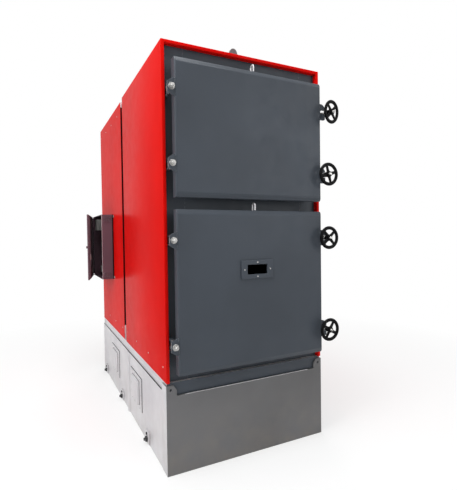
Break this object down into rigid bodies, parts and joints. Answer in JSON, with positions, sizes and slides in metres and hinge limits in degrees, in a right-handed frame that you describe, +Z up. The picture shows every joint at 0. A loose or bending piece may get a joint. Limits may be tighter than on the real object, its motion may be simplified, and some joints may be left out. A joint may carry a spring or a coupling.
{
  "type": "industrial boiler",
  "caption": "Steel hot-water boiler in a red casing on a grey base, with hinged front doors held by handwheel clamps, a sight glass and a side control cabinet.",
  "frame": {"origin": "on the floor under the middle of the base", "axes": "+Z up, -Y towards the doors, +X to the viewer's right"},
  "size_m": [1.4997, 2.646, 2.7838],
  "materials": {
    "red_casing": "gloss powder coat",
    "door_grey": "fine-textured powder coat",
    "base_grey": "satin paint",
    "base_light": "galvanised sheet",
    "boiler_steel": "sooty plate",
    "refractory": "heat-resistant board",
    "zinc_steel": "zinc plated",
    "wheel_black": "gloss black",
    "dark_glass": "dark heat-resistant glass",
    "pipe_steel": "heat-resistant paint",
    "cabinet_dark": "satin powder coat",
    "gear_grey": "moulded housings on a sheet plate"
  },
  "bodies": {
    "root": {"base_anchors": "zinc_steel", "base_deck": "base_light", "base_floor": "base_light", "base_front_cover": "base_grey", "base_left_hatches": "base_light", "base_left_wall": "base_light", "base_rear_wall": "base_light", "base_ribs": "base_light", "base_right_hatches": "base_light", "base_right_wall": "base_light", "cabinet_box": "cabinet_dark", "cabinet_gear": "gear_grey", "cabinet_units": "gear_grey", "casing_left_front": "red_casing", "casing_left_rear": "red_casing", "casing_rear": "red_casing", "casing_right_front": "red_casing", "casing_right_rear": "red_casing", "casing_roof_front": "red_casing", "casing_roof_rear": "red_casing", "clamp_forks": "door_grey", "flow_stub": "pipe_steel", "flue_plates": "boiler_steel", "flue_spigot": "pipe_steel", "front_rail_bottom": "door_grey", "front_rail_middle": "door_grey", "front_rail_top": "door_grey", "front_stile_left": "door_grey", "front_stile_right": "door_grey", "hearth": "refractory", "hinge_lugs": "door_grey", "hinge_pins": "zinc_steel", "lifting_eyes": "zinc_steel", "return_stub": "pipe_steel", "water_crown": "boiler_steel", "water_middle": "boiler_steel", "water_wall_left": "boiler_steel", "water_wall_rear": "boiler_steel", "water_wall_right": "boiler_steel"},
    "upper_door": {"upper_door_leaf": "door_grey", "upper_door_lining": "refractory", "upper_door_brackets": "door_grey", "upper_hinge_bolts": "zinc_steel", "upper_door_loop": "door_grey"},
    "lower_door": {"lower_door_leaf": "door_grey", "lower_door_lining": "refractory", "lower_door_brackets": "door_grey", "lower_hinge_bolts": "zinc_steel", "lower_door_loop": "door_grey", "sight_frame": "door_grey", "sight_glass": "dark_glass"},
    "cabinet_door": {"cabinet_door": "cabinet_dark"},
    "clamp_1": {"clamp_bolt_1": "zinc_steel"},
    "wheel_1": {"handwheel_1": "wheel_black"},
    "clamp_2": {"clamp_bolt_2": "zinc_steel"},
    "wheel_2": {"handwheel_2": "wheel_black"},
    "clamp_3": {"clamp_bolt_3": "zinc_steel"},
    "wheel_3": {"handwheel_3": "wheel_black"},
    "clamp_4": {"clamp_bolt_4": "zinc_steel"},
    "wheel_4": {"handwheel_4": "wheel_black"}
  },
  "joints": [
    {"name": "upper_door_hinge", "type": "hinge", "parent": "root", "child": "upper_door", "pos_m": [-0.559, -1.195, 0], "axis": [0, 0, -1], "range_deg": [0, 105]},
    {"name": "lower_door_hinge", "type": "hinge", "parent": "root", "child": "lower_door", "pos_m": [-0.559, -1.195, 0], "axis": [0, 0, -1], "range_deg": [0, 105]},
    {"name": "clamp_1_swing", "type": "hinge", "parent": "upper_door", "child": "clamp_1", "pos_m": [0.552, -1.168, 2.33], "axis": [0, 0, 1], "range_deg": [-14, 56]},
    {"name": "wheel_1_spin", "type": "hinge", "parent": "clamp_1", "child": "wheel_1", "pos_m": [0.58381, -1.29559, 2.31849], "axis": [0.241, -0.9666, -0.0872], "continuous": true},
    {"name": "clamp_2_swing", "type": "hinge", "parent": "upper_door", "child": "clamp_2", "pos_m": [0.552, -1.168, 1.885], "axis": [0, 0, 1], "range_deg": [0, 70]},
    {"name": "wheel_2_spin", "type": "hinge", "parent": "clamp_2", "child": "wheel_2", "pos_m": [0.552, -1.3, 1.885], "axis": [0, -1, 0], "continuous": true},
    {"name": "clamp_3_swing", "type": "hinge", "parent": "lower_door", "child": "clamp_3", "pos_m": [0.552, -1.168, 1.445], "axis": [0, 0, 1], "range_deg": [0, 70]},
    {"name": "wheel_3_spin", "type": "hinge", "parent": "clamp_3", "child": "wheel_3", "pos_m": [0.552, -1.3, 1.445], "axis": [0, -1, 0], "continuous": true},
    {"name": "clamp_4_swing", "type": "hinge", "parent": "lower_door", "child": "clamp_4", "pos_m": [0.552, -1.168, 0.802], "axis": [0, 0, 1], "range_deg": [0, 70]},
    {"name": "wheel_4_spin", "type": "hinge", "parent": "clamp_4", "child": "wheel_4", "pos_m": [0.552, -1.3, 0.802], "axis": [0, -1, 0], "continuous": true},
    {"name": "cabinet_door_hinge", "type": "hinge", "parent": "root", "child": "cabinet_door", "pos_m": [-0.715, 1.058, 0], "axis": [0, 0, -1], "range_deg": [-11.5, 90]}
  ]
}
